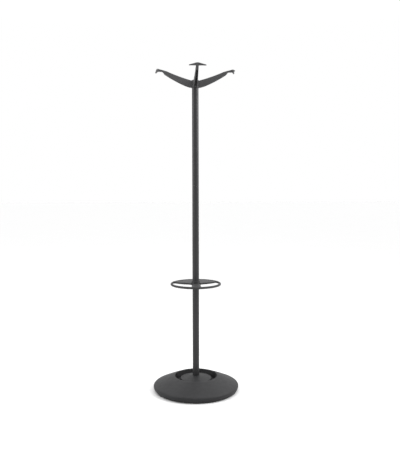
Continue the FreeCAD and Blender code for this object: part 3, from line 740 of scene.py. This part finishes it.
@dataclass
class UmbrellaRing:
    """Moulded ring that slides on the pole: hoop, collar, three spokes, a rear web and a screw boss."""

    workshop: Workshop
    height: float = 563.0
    hoop_radius: float = 128.5
    rod_radius: float = 6.0
    collar_inner: float = 17.58
    collar_outer: float = 21.8
    collar_height: float = 34.0
    spoke_thickness: float = 10.0
    spoke_edge: float = 3.0
    spoke_flat: float = 10.0
    spoke_widths: tuple[Corner, ...] = ((18.0, 19.5), (35.0, 16.0, -110.0), (124.0, 9.8))
    spoke_span: tuple[float, float] = (18.0, 124.0)
    foot_flare: float = 7.0
    flare_start: float = 108.0
    web_wall: float = 8.0
    web_span: tuple[float, float] = (30.0, 150.0)
    web_reach: tuple[float, float] = (19.0, 126.0)
    boss_radius: float = 6.5
    boss_bore: float = 4.55
    boss_height: float = 573.0
    boss_root: float = 19.0
    boss_reach: float = 34.0

    def hoop(self) -> Skin:
        """Round rod bent into a circle: a small circle carried round a large one."""
        angles = np.linspace(0, 2 * math.pi, 20, endpoint=False)
        across = self.hoop_radius + self.rod_radius * np.cos(angles)
        up = self.height + self.rod_radius * np.sin(angles)
        return turned_skin(np.column_stack((across, up)), steps=200)

    def collar(self) -> Skin:
        """Sleeve on the pole, with its edges softened."""
        half = self.collar_height / 2
        section = rounded(
            (
                (self.collar_inner, self.height - half, 0.8),
                (self.collar_outer, self.height - half, 1.6),
                (self.collar_outer, self.height + half, 1.6),
                (self.collar_inner, self.height + half, 0.8),
            )
        )
        return turned_skin(section, steps=96)

    def spoke_section(self) -> Array:
        """Section of a spoke of unit half width: across from -1 to 1, and up in millimetres."""
        half, edge, width = self.spoke_thickness / 2, self.spoke_edge, self.spoke_flat
        section = rounded(
            ((-width, -half, edge), (width, -half, edge), (width, half, edge), (-width, half, edge))
        )
        return section / (width, 1.0)

    def spoke(self, degrees: float) -> Skin:
        """One spoke, its section carried outwards along a radius.

        The half width follows the tapering outline, and near the hoop it gains a flare that grows
        with the square of the way through the last stretch, as a moulded fillet does.

        Args:
            degrees: Where the spoke points, about the pole, from +X.

        Returns:
            The spoke's skin.
        """
        widths = outline(self.spoke_widths, closed=False)
        first, last = self.spoke_span
        near = np.linspace(first, self.flare_start - 3, 24)
        far = np.linspace(self.flare_start - 1, last, 14)
        reach = np.concatenate((near, far))
        way = np.clip((reach - self.flare_start) / (last - self.flare_start), 0, 1)
        flare = self.foot_flare * way**2
        half = np.interp(reach, widths[:, 0], widths[:, 1]) + flare
        section = self.spoke_section()
        grid = np.empty((len(reach), len(section), 3))
        grid[..., 0] = reach[:, None]
        grid[..., 1] = half[:, None] * section[:, 0]
        grid[..., 2] = self.height + section[:, 1]
        return skin_over(grid, around=True, ends=True).turned(degrees)

    def web(self) -> Skin:
        """Web that fills the rear third, from the collar to the hoop.

        A flat section, distance from the pole and height, is carried round the pole from one side
        spoke to the other: each of its points goes to its distance times the cosine and the sine.
        """
        inner, outer = self.web_reach
        half = self.web_wall / 2
        section = outline(((inner, -half), (outer, -half), (outer, half), (inner, half)))
        angles = np.radians(np.linspace(*self.web_span, 61))
        grid = np.empty((len(angles), len(section), 3))
        grid[..., 0] = np.outer(np.cos(angles), section[:, 0])
        grid[..., 1] = np.outer(np.sin(angles), section[:, 0])
        grid[..., 2] = self.height + section[:, 1]
        return skin_over(grid, around=True, ends=True)

    def boss(self) -> Skin:
        """Round boss behind the collar for the set screw: a ring section turned about a line along +Y."""
        section = rounded(
            (
                (self.boss_bore, self.boss_root, 0),
                (self.boss_radius, self.boss_root, 0),
                (self.boss_radius, self.boss_reach, 1.0),
                (self.boss_bore, self.boss_reach, 0.4),
            )
        )
        upright = turned_skin(section, steps=40)
        points = upright.points[:, (0, 2, 1)] + (0, 0, self.boss_height)
        return Skin(points, upright.quads)

    def build(self) -> None:
        """Build the ring and dress its insert and set screw."""
        skins = [self.hoop(), self.collar(), self.web(), self.boss()]
        skins += [self.spoke(degrees) for degrees in (-90, 30, 150)]
        piece = make_piece("ring", [skin.turned(HEAD_TURN) for skin in skins])
        self.workshop.fit(piece, "ring_plastic", Body.RING, "umbrella_ring")
        self.workshop.dress("ring_screw_insert", "brass")
        self.workshop.dress("ring_set_screw", "black_steel")


# ---- arms -----------------------------------------------------------------------------


@dataclass
class HookArm:
    """Hook arm: a hollow ribbed blade that rises outwards, a drooping cross head, and a tongue."""

    workshop: Workshop
    name: str
    node: str
    degrees: float
    root_radius: float = 20.3
    blade_end: float = 201.0
    upper_edge: tuple[Corner, ...] = ((193, 1697, 500), (150, 1686, -1000), (14, 1638.5))
    lower_edge: tuple[Corner, ...] = (
        (14, 1601.5, 190),
        (60, 1614.5, 700),
        (163, 1669.5),
        (172, 1681.3, -14),
        (181, 1683.5),
        (202, 1684.0),
    )
    root_half: float = 11.0
    half_widths: tuple[Corner, ...] = ((0, 11.0), (30, 11.0, 4000), (174, 6.9), (202, 6.9))
    wall: float = 2.6
    skin: float = 3.1
    top_round: float = 2.6
    crown: float = 0.9
    hollow: tuple[float, float] = (28.0, 159.0)
    hollow_step: float = 0.4
    rib_first: float = 46.0
    rib_pitch: float = 22.0
    rib_count: int = 6
    rib_wall: float = 1.8
    rib_lift: float = 9.0
    tongue: tuple[Corner, Corner] = ((12, -5.8, 1612), (25, 5.8, 1636))
    head_half_span: float = 44.0
    head_tip: float = 2.6
    head_squareness: float = 0.62
    head_under: tuple[Corner, ...] = ((-44, 1681.6, -900), (44, 1681.6))
    head_over: tuple[Corner, ...] = (
        (44, 1686.0, -400),
        (9, 1696.8, 24),
        (-9, 1696.8, -400),
        (-44, 1686.0),
    )
    head_inner: tuple[Corner, ...] = ((201, -44, 95), (190, 0, 95), (201, 44))
    head_outer: tuple[Corner, ...] = ((208.8, -44, 240), (204, 0, 240), (208.8, 44))

    def edge(self, corners: Sequence[Corner], across: Array, swapped: bool = False) -> Array:
        """Read an open outline at given places.

        Args:
            corners: The outline's corners.
            across: Where it is read.
            swapped: Whether the outline is read by its second coordinate.

        Returns:
            The outline's other coordinate at those places.
        """
        line = outline(corners, closed=False)
        if swapped:
            line = line[:, ::-1]
        line = line[np.argsort(line[:, 0])]
        return np.interp(across, line[:, 0], line[:, 1])

    def stations(self) -> Array:
        """Distances from the pole at which the blade's section is set, closest at the hollow's ends."""
        first, last = self.hollow
        step = self.hollow_step
        return np.concatenate(
            (
                np.linspace(self.root_radius, first - step, 5),
                np.linspace(first + step, last - step, 70),
                np.linspace(last + step, self.blade_end, 26),
            )
        )

    def blade(self) -> Skin:
        """The blade: a channel section, open below, carried outwards from the hub.

        A round of the section goes up one side, over the crowned top with its rounded corners,
        down the other side, and back along the inside. Half width, lower edge and upper edge come
        from the outlines, and the inside has no height beyond the hollow's ends.
        """
        out = self.stations()
        half = self.edge(self.half_widths, out)
        under, over = self.edge(self.lower_edge, out), self.edge(self.upper_edge, out)
        first, last = self.hollow
        room = np.where((out > first) & (out < last), over - self.skin - under, 0.0)

        turn = np.linspace(0, math.pi / 2, 6)
        side = np.linspace(0, 1, 5)[:-1]
        top = np.linspace(-1, 1, 9)[1:-1]
        radius = self.top_round
        columns: list[tuple[Array, Array]] = []
        for share in side:
            columns.append((half, under + share * (over - radius - under)))
        for angle in turn:
            columns.append(
                (half - radius * (1 - math.cos(angle)), over - radius * (1 - math.sin(angle)) - self.crown)
            )
        for share in top:
            columns.append((-(half - radius) * share, over - self.crown * share**2))
        for angle in turn[::-1]:
            columns.append(
                (-(half - radius * (1 - math.cos(angle))), over - radius * (1 - math.sin(angle)) - self.crown)
            )
        for share in side[::-1]:
            columns.append((-half, under + share * (over - radius - under)))
        inner = half - self.wall
        for share in (0.0, 0.5, 0.92):
            columns.append((-inner, under + share * room))
        for share in np.linspace(-0.85, 0.85, 5):
            columns.append((inner * share, under + room))
        for share in (0.92, 0.5, 0.0):
            columns.append((inner, under + share * room))
        grid = np.empty((len(out), len(columns), 3))
        grid[..., 1] = np.stack([across for across, _ in columns], axis=1)
        grid[..., 2] = np.stack([up for _, up in columns], axis=1)
        root = np.sqrt(self.root_radius**2 - np.clip(grid[..., 1], -self.root_half, self.root_half) ** 2)
        way = (out - self.root_radius) / (self.blade_end - self.root_radius)
        grid[..., 0] = root + (self.blade_end - root) * way[:, None]
        return skin_over(grid, around=True, ends=True)

    def ribs(self) -> list[Skin]:
        """Cross ribs in the hollow, from its ceiling down to a little above the blade's lower edge."""
        places = self.rib_first + self.rib_pitch * np.arange(self.rib_count)
        half = self.edge(self.half_widths, places) - self.wall + 0.4
        under, over = self.edge(self.lower_edge, places), self.edge(self.upper_edge, places)
        return [
            block_skin(
                (place, -width, low + self.rib_lift), (place + self.rib_wall, width, high - self.skin + 0.5)
            )
            for place, width, low, high in zip(places, half, under, over)
        ]

    def head(self) -> Skin:
        """The cross head: a rounded section carried along its span from tip to tip.

        Its lower, upper, inner and outer edges come from the outlines. The section is a circle
        squared off, each of cosine and sine raised to a power under one, and it shrinks to
        nothing at the tips as a quarter circle does.
        """
        tip, span = self.head_tip, self.head_half_span
        body = np.linspace(-(span - tip), span - tip, 61)
        ends = tip * np.sin(np.linspace(0, math.pi / 2, 8)[1:])
        across = np.concatenate((-(span - tip) - ends[::-1], body, span - tip + ends))
        shrink = np.sqrt(np.clip(1 - (np.clip(np.abs(across) - (span - tip), 0, tip) / tip) ** 2, 0, 1))
        inner = self.edge(self.head_inner, across, swapped=True)
        outer = self.edge(self.head_outer, across, swapped=True)
        under, over = self.edge(self.head_under, across), self.edge(self.head_over, across)

        angles = np.linspace(0, 2 * math.pi, 36, endpoint=False)
        wide = np.sign(np.cos(angles)) * np.abs(np.cos(angles)) ** self.head_squareness
        high = np.sign(np.sin(angles)) * np.abs(np.sin(angles)) ** self.head_squareness
        grid = np.empty((len(across), len(angles), 3))
        grid[..., 0] = ((inner + outer) / 2)[:, None] + ((outer - inner) / 2 * shrink)[:, None] * wide
        grid[..., 1] = across[:, None]
        grid[..., 2] = ((under + over) / 2)[:, None] + ((over - under) / 2 * shrink)[:, None] * high
        return skin_over(grid, around=True)

    def build(self) -> None:
        """Build the arm and turn it to its place about the pole."""
        skins = [self.blade(), self.head(), block_skin(*self.tongue), *self.ribs()]
        turned = [skin.turned(self.degrees + HEAD_TURN) for skin in skins]
        self.workshop.fit(make_piece(self.name, turned), "arm_plastic", Body.STAND, self.node)


@dataclass
class Hub:
    """Hub on top of the pole, its cap, and the screws that hold the arms."""

    workshop: Workshop
    spigot_radius: float = 7.7
    seat_gap: float = 0.3
    dome_rise: float = 2.6
    cap_groove: float = 0.5

    def build_cap(self) -> None:
        """Turn the cap: a low dome with a fine step round it, on a short spigot."""
        low, high = box_mm("hub_cap")
        hub_top = box_mm("arm_hub")[1][2]
        radius, seat = high[0], hub_top + self.seat_gap
        edge = high[2] - self.dome_rise
        section = outline(
            (
                (0, low[2]),
                (self.spigot_radius, low[2]),
                (self.spigot_radius, seat),
                (radius - 0.4, seat, 1.4),
                (radius - 0.6, edge - 0.3, 2.0),
                (radius - 2.4, edge),
                (radius - 2.9, edge - self.cap_groove),
                (radius - 3.4, edge + 0.1, 80),
                (0, high[2]),
            )
        )
        piece = make_piece("cap", [turned_skin(section, steps=96)])
        self.workshop.fit(piece, "hub_plastic", Body.STAND, "hub_cap")

    def build(self) -> None:
        """Build the cap and dress the hub and its screws."""
        self.build_cap()
        self.workshop.dress("arm_hub", "hub_plastic")
        for node in ("arm_screws", "hub_washer", "hub_screw"):
            self.workshop.dress(node, "zinc_steel")


# ---- studio ---------------------------------------------------------------------------


@dataclass
class Studio:
    """Pale floor, soft light and the camera."""

    floor_size: float = 60.0
    floor_tone: float = 0.66
    sky_low: float = 1.0
    sky_high: float = 2.0
    sky_front: float = 0.6
    camera_distance: float = 3.186
    camera_height: float = 1.104
    camera_pitch: float = 1.0
    camera_yaw: float = 0.43
    camera_roll: float = 0.149
    camera_shift: float = -0.0784
    lens: float = 47.3

    def build_floor(self) -> None:
        """A wide flat floor with a faint unevenness in its tone."""
        half = self.floor_size / 2
        ends = np.linspace(-half, half, 2)
        grid = np.stack((*np.meshgrid(ends, ends, indexing="ij"), np.zeros((2, 2))), axis=-1)
        floor = make_piece("floor", [skin_over(grid / METRES, around=False)])
        if floor.data.polygons[0].normal.z < 0:
            floor.data.flip_normals()
        shading = Shading("studio_floor")
        tone = shading.blended(shading.noise(0.6), (self.floor_tone,) * 3, (self.floor_tone * 1.02,) * 3)
        shading.join(tone, "Base Color")
        shading.set("Roughness", 0.9)
        floor.data.materials.append(shading.material)

    def build_sky(self) -> None:
        """White light, stronger from above and a little weaker from the front."""
        world = bpy.data.worlds.new("studio_sky")
        bpy.context.scene.world = world
        world.use_nodes = True
        tree = world.node_tree
        split = tree.nodes.new("ShaderNodeSeparateXYZ")
        tree.links.new(tree.nodes.new("ShaderNodeTexCoord").outputs["Generated"], split.inputs["Vector"])
        product = tree.nodes.new("ShaderNodeMath")
        product.operation = "MULTIPLY"
        ramps = (("Z", (0.25, 0.9, self.sky_low, self.sky_high)), ("Y", (-0.75, 0.1, self.sky_front, 1.0)))
        for index, (axis, values) in enumerate(ramps):
            ramp = tree.nodes.new("ShaderNodeMapRange")
            for socket, value in zip(("From Min", "From Max", "To Min", "To Max"), values):
                ramp.inputs[socket].default_value = value
            tree.links.new(split.outputs[axis], ramp.inputs["Value"])
            tree.links.new(ramp.outputs["Result"], product.inputs[index])
        tree.links.new(product.outputs["Value"], tree.nodes["Background"].inputs["Strength"])
        tree.nodes["Background"].inputs["Color"].default_value = (1, 1, 1, 1)

    def build_lamp(self, name: str, place: Corner, target: Corner, size: Corner, power: float) -> None:
        """One soft lamp.

        Args:
            name: Its name.
            place: Where it stands, in metres.
            target: What it points at, in metres.
            size: Its width and height in metres.
            power: Its power in watts.
        """
        data = bpy.data.lights.new(name, "AREA")
        data.shape = "RECTANGLE"
        data.size, data.size_y = size
        data.energy = power
        lamp = bpy.data.objects.new(name, data)
        lamp.location = place
        from_target = np.array(place) - np.array(target)
        lamp.rotation_euler = (
            math.atan2(math.hypot(from_target[0], from_target[1]), from_target[2]),
            0,
            math.atan2(from_target[0], -from_target[1]),
        )
        bpy.context.scene.collection.objects.link(lamp)

    def build_camera(self) -> None:
        """The camera, in front of the pole at chest height, almost level, with its frame shifted down."""
        data = bpy.data.cameras.new("camera")
        data.lens = self.lens
        data.shift_y = self.camera_shift
        camera = bpy.data.objects.new("camera", data)
        camera.location = (0, -self.camera_distance, self.camera_height)
        camera.rotation_euler = (
            math.radians(90 - self.camera_pitch),
            math.radians(self.camera_roll),
            math.radians(-self.camera_yaw),
        )
        bpy.context.scene.collection.objects.link(camera)
        bpy.context.scene.camera = camera

    def build(self) -> None:
        """Build the studio."""
        self.build_floor()
        self.build_sky()
        self.build_lamp("right_lamp", (2.6, -0.6, 2.4), (0, 0, 1.3), (0.6, 2.0), 80)
        self.build_lamp("left_lamp", (-2.8, -1.2, 1.8), (0, 0, 1.1), (0.7, 2.2), 45)
        self.build_lamp("front_lamp", (0.4, -2.6, 3.2), (0, 0, 1.6), (1.0, 0.6), 8)
        self.build_camera()
        bpy.context.scene.view_settings.view_transform = "Standard"


# ---- the rack -------------------------------------------------------------------------


def main() -> None:
    """Build the rack and its studio, sub-assembly by sub-assembly."""
    logging.basicConfig(level=logging.INFO, format="%(name)s: %(message)s")
    workshop = Workshop()
    Base(workshop).build()
    Pole(workshop).build()
    UmbrellaRing(workshop).build()
    HookArm(workshop, "hook_arm_right", "arm_right", -SIDE_LEAN).build()
    HookArm(workshop, "hook_arm_left", "arm_left", 180 + SIDE_LEAN).build()
    HookArm(workshop, "hook_arm_front", "arm_front", -90).build()
    Hub(workshop).build()
    Studio().build()


if __name__ == "__main__":
    main()
